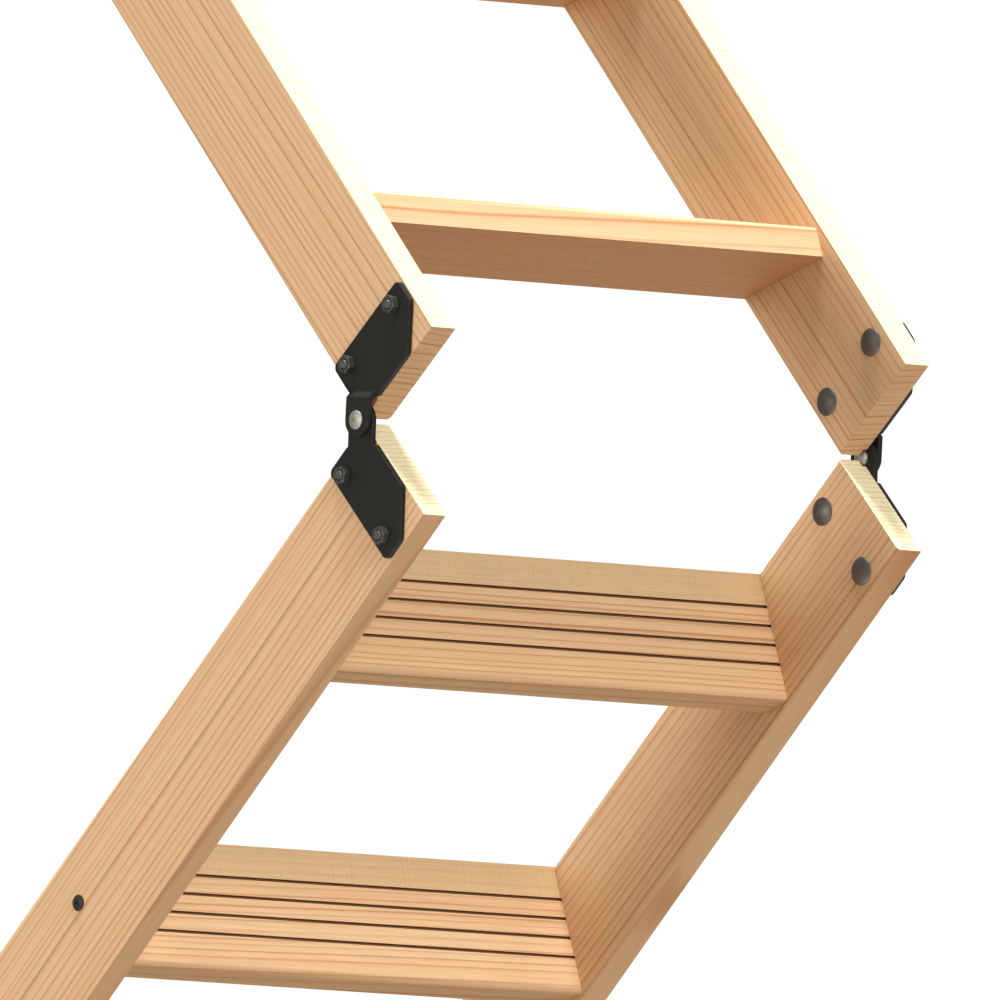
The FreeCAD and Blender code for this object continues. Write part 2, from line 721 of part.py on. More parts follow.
def make_bracket(side_name, level):
    """An angle bracket: one flange on the stringer's side, the other flat on the hatch."""
    side = SIDES[side_name]
    height = BRACKET_HEIGHTS[level]
    frame = f"{SECTION_FRAMES['top']} * " + at(
        f"{side} * {HALF_WIDTH}", 0, f"{height} - dims.bracket_length / 2")
    body = new_body(f"bracket_{side_name}_{level}", frame)
    thick = "dims.bracket_thickness"
    profile = [("0", thick), (f"{side} * dims.bracket_base_width", thick),
               (f"{side} * dims.bracket_base_width", "0"), (f"{side} * {thick}", "0"),
               (f"{side} * {thick}", "-dims.bracket_side_width"),
               ("0", "-dims.bracket_side_width")]
    sketch = new_sketch(body, "XY_Plane", "angle")
    draw_outline(sketch, profile)
    pad(body, sketch, "dims.bracket_length")
    round_edges(body, "dims.bracket_rounding", lambda middle, direction: (
        abs(direction.x) > STRAIGHT and middle.y < measure("-dims.bracket_side_width / 2")
        or abs(direction.y) > STRAIGHT and abs(middle.x) > measure("dims.bracket_base_width / 2")))
    side_holes = new_sketch(body, "YZ_Plane", "side_holes")
    base_holes = new_sketch(body, "XZ_Plane", "base_holes")
    base_centre = f"({side} * ({thick} + dims.bracket_base_width) / 2)"
    for sign in ("-", "+"):
        up = f"(dims.bracket_length / 2 {sign} dims.bracket_hole_spacing / 2)"
        draw_circle(side_holes, ("(-dims.bracket_side_width / 2)", up),
                    "(dims.bracket_screw_diameter + 2 * dims.screw_clearance)")
        draw_circle(base_holes, (base_centre, up), "dims.bracket_hole_diameter")
    cut(body, side_holes, thick, side)
    cut(body, base_holes, thick, -1)


def make_cap(side_name):
    """A plastic cap over the stringer's lower end."""
    side = SIDES[side_name]
    body = new_body(f"foot_cap_{side_name}", SECTION_FRAMES["bottom"])

    def shell(outer_wall, back_wall):
        low = f"{side} * ({INNER_HALF_WIDTH} - {outer_wall})"
        high = f"{side} * ({HALF_WIDTH} + {outer_wall})"
        return rectangle(low, f"-dims.stringer_depth - {outer_wall}", high, back_wall)

    outside = new_sketch(body, "XY_Plane", "outside", at(0, 0, "-dims.cap_sole"))
    draw_outline(outside, shell("(dims.cap_wall + dims.cap_clearance)",
                                "(dims.cap_back_wall + dims.cap_clearance)"))
    pad(body, outside, "dims.cap_sole + dims.cap_length")
    round_edges(body, "dims.cap_rounding",
                lambda middle, direction: middle.z < measure("dims.cap_length") - 0.01)
    inside = new_sketch(body, "XY_Plane", "inside")
    draw_outline(inside, shell("dims.cap_clearance", "dims.cap_clearance"))
    cut(body, inside, "dims.cap_length + 1", 1)
    hole = new_sketch(body, "YZ_Plane", "hole", at(0, 0, f"{side} * {HALF_WIDTH}"))
    draw_circle(hole, cap_screw_place()[0],
                "(dims.cap_screw_diameter + 2 * dims.screw_clearance)")
    cut(body, hole, "dims.cap_wall + dims.cap_clearance + 1", side)


def fix_on_both_sides(label, section, master, stand_off, places):
    """One node of screws driven inward from both outer faces of a section."""
    group(label, SECTION_FRAMES[section], master, [
        pointing(side, f"{side} * ({HALF_WIDTH} + {stand_off})", *place)
        for side in SIDES.values() for place in places])


# ---------------------------------------------------------------- the ladder

carriage_bolt = make_carriage_bolt()
hex_nut = make_nut()
hinge_rivet = make_rivet()
tie_screw = make_screw("tie_screw", "dims.tie_diameter", "dims.tie_length",
                       "dims.tie_head_diameter", "dims.tie_head_height")
bracket_screw = make_screw("bracket_screw", "dims.bracket_screw_diameter",
                           "dims.bracket_screw_length", "dims.bracket_screw_head_diameter",
                           "dims.bracket_screw_head_height")
cap_screw = make_screw("cap_screw", "dims.cap_screw_diameter", "dims.cap_screw_length",
                       "dims.cap_screw_head_diameter", "dims.cap_screw_head_height")

for section_name in SECTION_FRAMES:
    for side_label in SIDES:
        make_stringer(section_name, side_label)
    for tread_number in range(1, int(measure("dims.tread_count")) + 1):
        make_tread(section_name, tread_number)
    fix_on_both_sides(f"{section_name}_tie_screws", section_name, tie_screw, "0", tie_places())

for side_label in SIDES:
    make_hinge("front_hinge", side_label, "top", "middle", -1)
    make_hinge("knee_hinge", side_label, "middle", "bottom", 1)
    for bracket_level in BRACKET_HEIGHTS:
        make_bracket(side_label, bracket_level)
    make_cap(side_label)
fix_on_both_sides("bracket_screws", "top", bracket_screw, "dims.bracket_thickness",
                  bracket_screw_places())
fix_on_both_sides("foot_cap_screws", "bottom", cap_screw,
                  "(dims.cap_wall + dims.cap_clearance)", cap_screw_place())

document.recompute()


# ---------------------------------------------------------------- checks and files

def check_document():
    """Stop if any object failed to compute, or if a node's shape is missing or broken."""
    for item in document.Objects:
        if any(word in item.State for word in ("Invalid", "Error")):
            raise RuntimeError(f"{item.Name} did not compute: {item.State}")
    for node in nodes:
        if node.Shape.isNull() or not node.Shape.isValid():
            raise RuntimeError(f"{node.Label} has no valid shape")


check_document()
os.makedirs("parts", exist_ok=True)
for node in nodes:
    node.Shape.exportStep(f"parts/{node.Label}.step")
    print(f"{node.Label}: {len(node.Shape.Solids)} solids, {node.Shape.Volume / 1000:.2f} cm3")
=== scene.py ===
import json
import math
import random

import bmesh
import bpy
from mathutils import Matrix, Vector


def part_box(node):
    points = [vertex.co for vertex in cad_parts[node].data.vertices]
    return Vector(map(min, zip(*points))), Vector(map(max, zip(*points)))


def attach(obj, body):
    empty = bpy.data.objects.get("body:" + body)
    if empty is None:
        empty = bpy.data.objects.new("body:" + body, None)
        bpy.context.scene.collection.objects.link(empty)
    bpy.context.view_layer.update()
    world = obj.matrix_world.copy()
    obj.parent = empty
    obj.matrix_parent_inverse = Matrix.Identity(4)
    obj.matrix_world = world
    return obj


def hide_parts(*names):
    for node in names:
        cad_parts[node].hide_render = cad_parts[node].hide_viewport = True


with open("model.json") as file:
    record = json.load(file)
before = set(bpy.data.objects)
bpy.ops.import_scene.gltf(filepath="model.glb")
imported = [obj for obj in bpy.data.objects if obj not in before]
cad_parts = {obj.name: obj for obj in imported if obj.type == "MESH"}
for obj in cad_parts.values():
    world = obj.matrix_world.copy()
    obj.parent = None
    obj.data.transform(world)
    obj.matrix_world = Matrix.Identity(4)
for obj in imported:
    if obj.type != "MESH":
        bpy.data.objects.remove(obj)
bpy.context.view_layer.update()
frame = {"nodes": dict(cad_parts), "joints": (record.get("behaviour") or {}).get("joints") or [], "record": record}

# Attic ladder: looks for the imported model.  Named sizes are in metres, and named angles in
# degrees.

# ---------------------------------------------------------------- the frame's own sizes

nodes = frame["nodes"]
joints = {joint["name"]: joint for joint in frame["joints"]}
mounts = {mount["name"]: mount for mount in frame["record"]["mounts"]}
bodies = frame["record"]["behaviour"]["bodies"]

KNEE = Vector(joints["knee_fold"]["pos_m"])
KNEE_FOLD = -joints["knee_fold"]["range_deg"][0]
hatch_normal = mounts["hatch_mount"]["axis"]
BACK_TILT = math.degrees(math.atan2(-hatch_normal[2], hatch_normal[1]))
SECTION_TURN = {"top": -BACK_TILT, "middle": -BACK_TILT, "bottom": KNEE_FOLD - BACK_TILT}
LEFT_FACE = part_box("middle_left_stringer")[0].x
STRINGER_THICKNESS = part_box("middle_left_stringer")[1].x - LEFT_FACE

# ---------------------------------------------------------------- camera, floor and light

VIEW_AZIMUTH = -44.49
VIEW_ELEVATION = -16.95
VIEW_ROLL = 11.69
VIEW_DISTANCE = 27.0
VIEW_WIDTH = 0.6005
VIEW_RIGHT = 0.08115          # from the left hinge's pin to the middle of the view
VIEW_DOWN = 0.04776
SENSOR_WIDTH = 36.0
CLIP_START = 0.5
CLIP_END = 3 * VIEW_DISTANCE

FLOOR_RADIUS = 1.9
FLOOR_SIDES = 96
FLOOR_BACK = 0.5              # from the knee to the floor's middle
FLOOR_BELOW_KNEE = 0.925      # just under the foot caps of the straightened ladder
FLOOR_GREY = 0.82
FLOOR_ROUGHNESS = 0.8
SUNS = {                      # name: where it shines from, strength, softness
    "key": ((-0.02, -0.33, 0.94), 6.2, 16.0),
    "front_fill": ((-0.15, -0.98, 0.06), 1.6, 30.0),
    "left_fill": ((-0.995, 0.05, 0.08), 1.35, 12.0),
}
SUN_COLOUR = (0.98, 1.0, 0.97)
SKY_STRENGTH = 0.40
SKY_COLOUR = (1.0, 0.97, 0.92)
GROUND_COLOUR = (1.0, 0.80, 0.58)
HORIZON = (0.35, 0.65)        # where ground turns into sky, from 0 straight down to 1 straight up
BACKDROP_STRENGTH = 1.05


def add_camera():
    azimuth = math.radians(VIEW_AZIMUTH)
    elevation = math.radians(VIEW_ELEVATION)
    ahead = Vector((-math.sin(azimuth) * math.cos(elevation),
                    math.cos(azimuth) * math.cos(elevation), -math.sin(elevation)))
    level_right = ahead.cross(Vector((0, 0, 1))).normalized()
    level_up = level_right.cross(ahead)
    roll = math.radians(VIEW_ROLL)
    right = level_right * math.cos(roll) - level_up * math.sin(roll)
    up = right.cross(ahead)
    pin = Vector((LEFT_FACE, KNEE.y, KNEE.z))
    middle = pin + right * VIEW_RIGHT - up * VIEW_DOWN
    data = bpy.data.cameras.new("camera")
    data.sensor_width = SENSOR_WIDTH
    data.lens = SENSOR_WIDTH * VIEW_DISTANCE / VIEW_WIDTH
    data.clip_start = CLIP_START
    data.clip_end = CLIP_END
    camera = bpy.data.objects.new("camera", data)
    bpy.context.scene.collection.objects.link(camera)
    turn = Matrix((right, up, -ahead)).transposed().to_4x4()
    camera.matrix_world = Matrix.Translation(middle - ahead * VIEW_DISTANCE) @ turn
    bpy.context.scene.camera = camera


def add_floor():
    mesh = bpy.data.meshes.new("floor")
    builder = bmesh.new()
    bmesh.ops.create_circle(builder, cap_ends=True, segments=FLOOR_SIDES, radius=FLOOR_RADIUS)
    builder.to_mesh(mesh)
    builder.free()
    floor = bpy.data.objects.new("floor", mesh)
    floor.location = (0, KNEE.y + FLOOR_BACK, KNEE.z - FLOOR_BELOW_KNEE)
    floor.visible_diffuse = False
    bpy.context.scene.collection.objects.link(floor)
    material = bpy.data.materials.new("floor_paint")
    material.use_nodes = True
    shader = material.node_tree.nodes["Principled BSDF"]
    shader.inputs["Base Color"].default_value = (*(FLOOR_GREY,) * 3, 1)
    shader.inputs["Roughness"].default_value = FLOOR_ROUGHNESS
    mesh.materials.append(material)


def add_suns():
    for name, (source, strength, softness) in SUNS.items():
        data = bpy.data.lights.new(name, "SUN")
        data.energy = strength
        data.angle = math.radians(softness)
        data.color = SUN_COLOUR
        sun = bpy.data.objects.new(name, data)
        sun.rotation_mode = "QUATERNION"
        sun.rotation_quaternion = Vector(source).to_track_quat("Z", "Y")
        bpy.context.scene.collection.objects.link(sun)


def add_world():
    """A soft sky that lights the ladder, behind a plain white backdrop that is seen."""
    world = bpy.data.worlds.new("studio")
    bpy.context.scene.world = world
    world.use_nodes = True
    tree = world.node_tree
    backdrop = tree.nodes["Background"]
    backdrop.inputs["Color"].default_value = (1, 1, 1, 1)
    backdrop.inputs["Strength"].default_value = BACKDROP_STRENGTH
    sky = tree.nodes.new("ShaderNodeBackground")
    sky.inputs["Strength"].default_value = SKY_STRENGTH
    place = tree.nodes.new("ShaderNodeTexCoord")
    height = tree.nodes.new("ShaderNodeSeparateXYZ")
    ramp = tree.nodes.new("ShaderNodeValToRGB")
    lift = tree.nodes.new("ShaderNodeMapRange")
    lift.inputs["From Min"].default_value = -1.0
    colours = (GROUND_COLOUR, SKY_COLOUR)
    for stop, share, colour in zip(ramp.color_ramp.elements, HORIZON, colours):
        stop.position = share
        stop.color = (*colour, 1)
    path = tree.nodes.new("ShaderNodeLightPath")
    choice = tree.nodes.new("ShaderNodeMixShader")
    tree.links.new(place.outputs["Generated"], height.inputs["Vector"])
    tree.links.new(height.outputs["Z"], lift.inputs["Value"])
    tree.links.new(lift.outputs["Result"], ramp.inputs["Fac"])
    tree.links.new(ramp.outputs["Color"], sky.inputs["Color"])
    tree.links.new(path.outputs["Is Camera Ray"], choice.inputs["Fac"])
    tree.links.new(sky.outputs["Background"], choice.inputs[1])
    tree.links.new(backdrop.outputs["Background"], choice.inputs[2])
    tree.links.new(choice.outputs["Shader"], tree.nodes["World Output"].inputs["Surface"])
    bpy.context.scene.view_settings.view_transform = "Standard"


# ---------------------------------------------------------------- material building blocks

MIX_SHARE = 0                 # a Mix node's sockets, which repeat their names for each type
MIX_NUMBERS = (2, 3)
MIX_COLOURS = (6, 7)
MIX_COLOUR_OUT = 2


class Nodes:
    """Short calls that add shader nodes to one material and join them up."""

    def __init__(self, name):
        self.material = bpy.data.materials.new(name)
        self.material.use_nodes = True
        self.tree = self.material.node_tree
        self.shader = self.tree.nodes["Principled BSDF"]

    def add(self, kind, settings=None, **inputs):
        node = self.tree.nodes.new(f"ShaderNode{kind}")
        for name, value in (settings or {}).items():
            setattr(node, name, value)
        for name, value in inputs.items():
            self.feed(node.inputs[name.replace("_", " ")], value)
        return node

    def feed(self, socket, value):
        if isinstance(value, bpy.types.NodeSocket):
            self.tree.links.new(value, socket)
        else:
            socket.default_value = value

    def math(self, operation, first, second=0.0, third=0.0):
        node = self.add("Math", {"operation": operation})
        for socket, value in zip(node.inputs, (first, second, third)):
            self.feed(socket, value)
        return node.outputs[0]

    def scaled(self, vector, scale):
        node = self.add("VectorMath", {"operation": "MULTIPLY"})
        self.feed(node.inputs[0], vector)
        self.feed(node.inputs[1], scale)
        return node.outputs[0]

    def noise(self, vector, scale, detail=2.0, roughness=0.5):
        """Noise with its own scale along each axis, as features to the metre."""
        node = self.add("TexNoise", None, Vector=self.scaled(vector, scale), Scale=1.0,
                        Detail=detail, Roughness=roughness)
        return node.outputs["Fac"]

    def ramp(self, value, stops):
        """A colour ramp: stops are pairs of a place and a colour or a grey."""
        node = self.add("ValToRGB", None, Fac=value)
        elements = node.color_ramp.elements
        while len(elements) < len(stops):
            elements.new(0.5)
        for element, (place, colour) in zip(elements, stops):
            element.position = place
            element.color = (*colour, 1) if isinstance(colour, tuple) else (colour,) * 3 + (1,)
        return node.outputs["Color"]

    def mix(self, share, first, second, blend="MIX"):
        node = self.add("Mix", {"data_type": "RGBA", "blend_type": blend})
        self.feed(node.inputs[MIX_SHARE], share)
        for index, colour in zip(MIX_COLOURS, (first, second)):
            linked = isinstance(colour, bpy.types.NodeSocket)
            self.feed(node.inputs[index], colour if linked else (*colour, 1))
        return node.outputs[MIX_COLOUR_OUT]

    def number_mix(self, share, first, second):
        node = self.add("Mix", {"data_type": "FLOAT"})
        self.feed(node.inputs[MIX_SHARE], share)
        for index, value in zip(MIX_NUMBERS, (first, second)):
            self.feed(node.inputs[index], value)
        return node.outputs[0]

    def bump(self, height, strength, distance):
        node = self.add("Bump", None, Height=height, Strength=strength, Distance=distance)
        self.feed(self.shader.inputs["Normal"], node.outputs["Normal"])

    def texture_coordinates(self, output="Object", turn=0.0):
        """Object places or face directions, turned about X so that Z runs along a section."""
        source = self.add("TexCoord").outputs[output]
        mapping = self.add("Mapping", {"vector_type": "POINT"}, Vector=source)
        mapping.inputs["Rotation"].default_value = (math.radians(turn), 0, 0)
        return mapping.outputs["Vector"]

    def axes(self, vector):
        return self.add("SeparateXYZ", None, Vector=vector).outputs

    def point(self, x, y, z=0.0):
        return self.add("CombineXYZ", None, X=x, Y=y, Z=z).outputs[0]


def srgb(red, green, blue):
    """A linear colour from 0-255 display values."""
    def linear(value):
        share = value / 255
        return share / 12.92 if share <= 0.04045 else ((share + 0.055) / 1.055) ** 2.4
    return (linear(red), linear(green), linear(blue))


# ---------------------------------------------------------------- pine

GROUND_WOOD = srgb(233, 196, 156)
WARM_WOOD = srgb(224, 180, 137)
LATE_WOOD = srgb(190, 126, 78)
CROSS_LINE = srgb(210, 170, 108)
CROSS_WOOD_AND_PAINTED_LIGHT = {                # pale wood where lines cross a strip, by the kind of board; a bottom stringer's upper end is painted lighter as painted light
    "cross": srgb(238, 219, 180),
    # painted light: a bottom stringer's upper end, made lighter where the section above shades it
    "stringer": srgb(251, 240, 204),
    "tread": srgb(219, 190, 150),
}

RING_SPACING = 0.0052
CROSS_SPACING = 0.0036
FINE_SHARE = 0.5              # spacing on a tread's underside, of the usual one
LOG_REACH = 40                # the boards' places in the log are drawn from 0 to this
CROSS_PLACE = 7               # added to a board's place for the lines that cross its strips
FINE_PLACE = 3                # and for the lines of a tread's underside
TREAD_LEAN = (0.35, 0.70)     # how far the rings lean over the board's depth, drawn per board
STRINGER_LEAN = (-0.25, 0.25)
GRAIN_DRIFT = 0.018           # most that the rings drift along the grain
CROSS_DRIFT = 0.12            # most that the crossing lines drift over a strip
RING_WANDER = 0.022
RING_WOBBLE = 0.0022
CROSS_RIPPLE = 0.0028

WOOD_NOISE = {                # features to the metre across, deep and along; detail; roughness
    "wander": ((4, 4, 0.9), 2.0, 0.5),
    "wobble": ((20, 20, 3.0), 1.0, 0.5),
    "broad": ((30, 30, 1.2), 2.0, 0.5),
    "streak": ((330, 330, 4.0), 3.0, 0.55),
    "ripple": ((170, 170, 60), 2.0, 0.5),
    "fibre": ((1500, 1500, 22), 3.0, 0.6),
    "crowd": ((60, 1, 1), 2.0, 0.6),
}
RING_PROFILE = [(0.0, 0.18), (0.08, 0.0), (0.50, 0.03), (0.74, 0.26), (0.88, 1.0), (0.94, 0.85),
                (1.0, 0.18)]  # darkness over one ring, from early to late wood and back
CROWDING = 3.0                # most that crowding moves a line, in spacings
FAINTEST_LINE = 0.32
LINE_RANGE = 0.60             # from the faintest line to the strongest
BROAD_STOPS = [(0.35, 0.0), (0.70, 1.0)]
STREAK_STOPS = [(0.45, 0.0), (0.75, 1.0)]
BROAD_SHARE = 0.55
STREAK_SHARE = 0.35
FIBRE_STOPS = [(0.30, 0.90), (0.62, 1.03)]
# painted shade: added to the darkness of the lines on a tread's downward faces
UNDERSIDE_SHADE = 0.22
CROSS_STRENGTH = 0.75
TREAD_STRIP_SHARE = 0.8

FACES_DOWN = -0.5             # parts of a face's direction that pick out faces
FACES_UP = 0.8
NARROW_FACE = 0.75
BOARD_END = 0.9

LAST_GROOVE = 0.0205          # from a tread's upper back edge to its nearest groove
GROOVE_MARGIN = 0.0008        # how far the painted shade reaches back beyond that groove
FIRST_GROOVE = 0.0640         # from the same edge to just ahead of the furthest groove
GROOVE_SHADE_TOP = 0.0003             # the painted shade lies between these depths
GROOVE_SHADE_BOTTOM = 0.0025
# the grooves' painted shade: its colour as a share of the late wood's, and how fully it covers
GROOVE_SHADE = 0.30
GROOVE_SHADE_STRENGTH = 0.92
FLAT_TOP = 0.0001             # corners this near the highest count as a tread's top

WOOD_ROUGHNESS = (0.46, 0.22)   # the least, and what the fibres add
WOOD_SPECULAR = 0.22
LINE_RELIEF = 0.6
FIBRE_RELIEF = 0.5
WOOD_BUMP = (0.30, 0.00015)   # strength and height


def growth_lines(make, place, seed, spacing):
    """Masks of thin growth lines a spacing apart on average, crowded here and there."""
    crowd = make.noise(make.point(place, seed), *WOOD_NOISE["crowd"])
    phase = make.math("MULTIPLY_ADD", place, 1 / spacing, make.math("MULTIPLY", crowd, CROWDING))
    chance = make.add("TexWhiteNoise", {"noise_dimensions": "1D"},
                      W=make.math("FLOOR", phase)).outputs["Value"]
    line = make.ramp(make.math("FRACT", phase), RING_PROFILE)
    return make.math("MULTIPLY", line,
                     make.math("MULTIPLY_ADD", chance, LINE_RANGE, FAINTEST_LINE))


def ring_place(make, board, across, deep, grain, lean, drift):
    """The distance that the rings are counted along, bent as they are in a grown log."""
    bent = make.math("MULTIPLY_ADD", deep, lean, across)
    bent = make.math("MULTIPLY_ADD", grain, drift, bent)
    wander = make.noise(board, *WOOD_NOISE["wander"])
    bent = make.math("MULTIPLY_ADD", wander, RING_WANDER, bent)
    wobble = make.noise(board, *WOOD_NOISE["wobble"])
    return make.math("MULTIPLY_ADD", wobble, RING_WOBBLE, bent)


def early_wood(make, board):
    """The colour between the growth lines, warmer in broad patches and thin streaks."""
    broad = make.ramp(make.noise(board, *WOOD_NOISE["broad"]), BROAD_STOPS)
    streak = make.ramp(make.noise(board, *WOOD_NOISE["streak"]), STREAK_STOPS)
    warm = make.math("MULTIPLY", broad, BROAD_SHARE)
    warm = make.math("MULTIPLY_ADD", streak, STREAK_SHARE, warm)
    return make.mix(warm, GROUND_WOOD, WARM_WOOD)


def pine(name, turn, kind, draw):
    """Planed pine.  Growth lines follow the grain on the wide faces.

    turn lays the board upright, and draw is the random stream that places this board in its
    log.  kind is "tread"; "cross" for a stringer whose narrow faces show lines that cross them;
    or "stringer" for one that shows such lines on its upper end, painted lighter there as painted light.
    """
    make = Nodes(name)
    x, y, z = make.axes(make.texture_coordinates("Object", -turn))
    facing = make.axes(make.texture_coordinates("Normal", -turn))
    treads = kind == "tread"
    across, deep, grain = (y, z, x) if treads else (y, x, z)
    seed = draw.uniform(0, LOG_REACH)
    lean = draw.uniform(*(TREAD_LEAN if treads else STRINGER_LEAN))
    drift = draw.uniform(-GRAIN_DRIFT, GRAIN_DRIFT)
    cross_drift = draw.uniform(-CROSS_DRIFT, CROSS_DRIFT)

    board = make.point(across, deep, make.math("ADD", grain, seed))
    bent = ring_place(make, board, across, deep, grain, lean, drift)
    late = growth_lines(make, bent, seed, RING_SPACING)
    if treads:
        # a tread's downward faces get finer growth lines, darkened further by painted shade
        fine = growth_lines(make, bent, seed + FINE_PLACE, RING_SPACING * FINE_SHARE)
        below = make.math("LESS_THAN", facing[2], FACES_DOWN)
        late = make.number_mix(below, late, make.math("ADD", fine, UNDERSIDE_SHADE))
    colour = make.mix(late, early_wood(make, board), LATE_WOOD)

    ripple = make.noise(board, *WOOD_NOISE["ripple"])
    crossed = make.math("MULTIPLY_ADD", ripple, CROSS_RIPPLE,
                        across if kind == "stringer" else grain)
    crossed = make.math("MULTIPLY_ADD", across if treads else deep, cross_drift, crossed)
    lines = growth_lines(make, crossed, seed + CROSS_PLACE, CROSS_SPACING)
    # the crossed wood's colour; a bottom stringer's upper end gets its lighter, painted-light colour here
    pale = make.mix(make.math("MULTIPLY", lines, CROSS_STRENGTH), CROSS_WOOD_AND_PAINTED_LIGHT[kind], CROSS_LINE)
    colour = make.mix(crossed_faces(make, name, kind, across, facing), colour, pale)

    fibre = make.noise(board, *WOOD_NOISE["fibre"])
    colour = make.mix(1.0, colour, make.ramp(fibre, FIBRE_STOPS), "MULTIPLY")
    if treads:
        # painted shade: a tread's grooves are darkened where shade falls in them
        painted_groove_shade = tuple(channel * GROOVE_SHADE for channel in LATE_WOOD)
        colour = make.mix(groove_shade_mask(make, name, across, deep), colour, painted_groove_shade)
    make.feed(make.shader.inputs["Base Color"], colour)
    least, added = WOOD_ROUGHNESS
    make.feed(make.shader.inputs["Roughness"], make.math("MULTIPLY_ADD", fibre, added, least))
    make.shader.inputs["Specular IOR Level"].default_value = WOOD_SPECULAR
    make.bump(make.math("MULTIPLY_ADD", late, LINE_RELIEF,
                        make.math("MULTIPLY", fibre, FIBRE_RELIEF)), *WOOD_BUMP)
    return make.material


def crossed_faces(make, name, kind, across, facing):
    """How much of the pale, crossed wood shows: by the kind of board and the way a face looks."""
    if kind == "cross":
        return make.math("GREATER_THAN", make.math("ABSOLUTE", facing[1]), NARROW_FACE)
    # a bottom stringer's upper end, where the lighter pale wood stands in for light
    if kind == "stringer":
        return make.math("GREATER_THAN", facing[2], BOARD_END)
    on_top = make.math("GREATER_THAN", facing[2], FACES_UP)
    behind = make.math("GREATER_THAN", across, upper_back_edge(name).y - LAST_GROOVE)
    return make.math("MULTIPLY", make.math("MULTIPLY", on_top, behind), TREAD_STRIP_SHARE)


def tread_turn(name):
    return SECTION_TURN[name.split("_")[0]] + BACK_TILT


def upper_back_edge(name):
    """A tread's upper back edge in the coordinates that lay it level."""
    level = Matrix.Rotation(math.radians(-tread_turn(name)), 3, "X")
    points = [level @ vertex.co for vertex in nodes[name.removesuffix("_pine")].data.vertices]
    top = max(point.z for point in points)
    back = max(point.y for point in points if point.z > top - FLAT_TOP)
    return Vector((0, back, top))


def groove_shade_mask(make, name, across, deep):
    """Near 1 inside a tread's grooves, where shade is painted in dark."""
    edge = upper_back_edge(name)
    sunk = make.math("LESS_THAN", deep, edge.z - GROOVE_SHADE_TOP)
    shallow = make.math("GREATER_THAN", deep, edge.z - GROOVE_SHADE_BOTTOM)
    before_last = make.math("LESS_THAN", across, edge.y - LAST_GROOVE + GROOVE_MARGIN)
    after_first = make.math("GREATER_THAN", across, edge.y - FIRST_GROOVE)
    inside = make.math("MULTIPLY", make.math("MULTIPLY", sunk, shallow),
                       make.math("MULTIPLY", before_last, after_first))
    return make.math("MULTIPLY", inside, GROOVE_SHADE_STRENGTH)


BOARD_SEED = 11


def paint_wood():
    draw = random.Random(BOARD_SEED)
    for section, turn in SECTION_TURN.items():
        for name in sorted(nodes):
            if name.startswith(section) and "stringer" in name:
                kind = "stringer" if section == "bottom" else "cross"
                dress(name, pine(f"{name}_pine", turn, kind, draw))
            if name.startswith(section) and "_tread_" in name:
                dress(name, pine(f"{name}_pine", tread_turn(name), "tread", draw))


# ---------------------------------------------------------------- metal and plastic

FINISHES = {                  # colour and roughness
    "black_powder_coat": (srgb(18, 17, 15), 0.66),
    "bracket_powder_coat": (srgb(40, 38, 36), 0.60),
    "black_screws": (srgb(34, 32, 31), 0.50),
    "phosphated_bolts": (srgb(108, 102, 100), 0.44),
    "phosphated_nuts": (srgb(88, 85, 82), 0.50),
    "rivet_steel": (srgb(172, 168, 162), 0.48),
    "zinc_screws": (srgb(190, 190, 188), 0.36),
    "cap_plastic": (srgb(36, 35, 35), 0.45),
}
FINISH_NOISE = {              # features to the metre along X, Y and Z; detail; roughness
    "coat_peel": ((900, 900, 900), 3.0, 0.6),
    "coat_cloud": ((38, 38, 38), 3.0, 0.6),
    "coat_marks": ((160, 420, 420), 4.0, 0.75),
    "stain": ((240, 240, 240), 4.0, 0.65),
    "scratch": ((260, 2600, 2600), 2.0, 0.5),
    "plastic_grain": ((1400, 1400, 1400), 2.0, 0.5),
    "plastic_cloud": ((30, 30, 30), 2.0, 0.5),
}
MARK_STOPS = [(0.60, 0.0), (0.78, 1.0)]
CLOUD_STOPS = [(0.35, 0.0), (0.70, 1.0)]
STAIN_STOPS = [(0.38, 0.0), (0.66, 1.0)]
SCUFF = 0.35                  # strength of the rubbed marks
LEAF_SCUFF = 0.08
RUBBED_GAIN = 2.6             # a rubbed mark's colour, from the coat's
RUBBED_LIFT = 0.012
CLOUD_GAIN = 1.35
CLOUD_GLOSS = 0.18            # range of roughness from the cloud
COAT_SPECULAR = 0.30
COAT_BUMP = (0.30, 0.00008)   # strength and height
STAIN_SHARE = 0.84            # a stain's colour, of the bare metal's
STAIN_GLOSS = 0.25
SCRATCH_GLOSS = 0.12
METAL_GLOSS = 0.12            # taken off the roughness, which stains and scratches add to
METAL_BUMP = (0.18, 0.00004)
PLASTIC_GAIN = 1.5
PLASTIC_GLOSS = 0.15
PLASTIC_BUMP = (0.35, 0.00006)


def coated(name, scuff=SCUFF):
    """Matte powder coat with a fine orange peel and faint rubbed marks."""
    colour, roughness = FINISHES[name]
    make = Nodes(name)
    place = make.texture_coordinates()
    peel = make.noise(place, *FINISH_NOISE["coat_peel"])
    cloud = make.noise(place, *FINISH_NOISE["coat_cloud"])
    marks = make.noise(place, *FINISH_NOISE["coat_marks"])
    rubbed = make.math("MULTIPLY", make.ramp(marks, MARK_STOPS), scuff)
    lighter = tuple(min(1.0, channel * RUBBED_GAIN + RUBBED_LIFT) for channel in colour)
    clouded = tuple(channel * CLOUD_GAIN for channel in colour)
    base = make.mix(make.ramp(cloud, CLOUD_STOPS), colour, clouded)
    make.feed(make.shader.inputs["Base Color"], make.mix(rubbed, base, lighter))
    make.feed(make.shader.inputs["Roughness"],
              make.math("MULTIPLY_ADD", cloud, CLOUD_GLOSS, roughness - CLOUD_GLOSS / 2))
    make.shader.inputs["Specular IOR Level"].default_value = COAT_SPECULAR
    make.bump(peel, *COAT_BUMP)
    return make.material


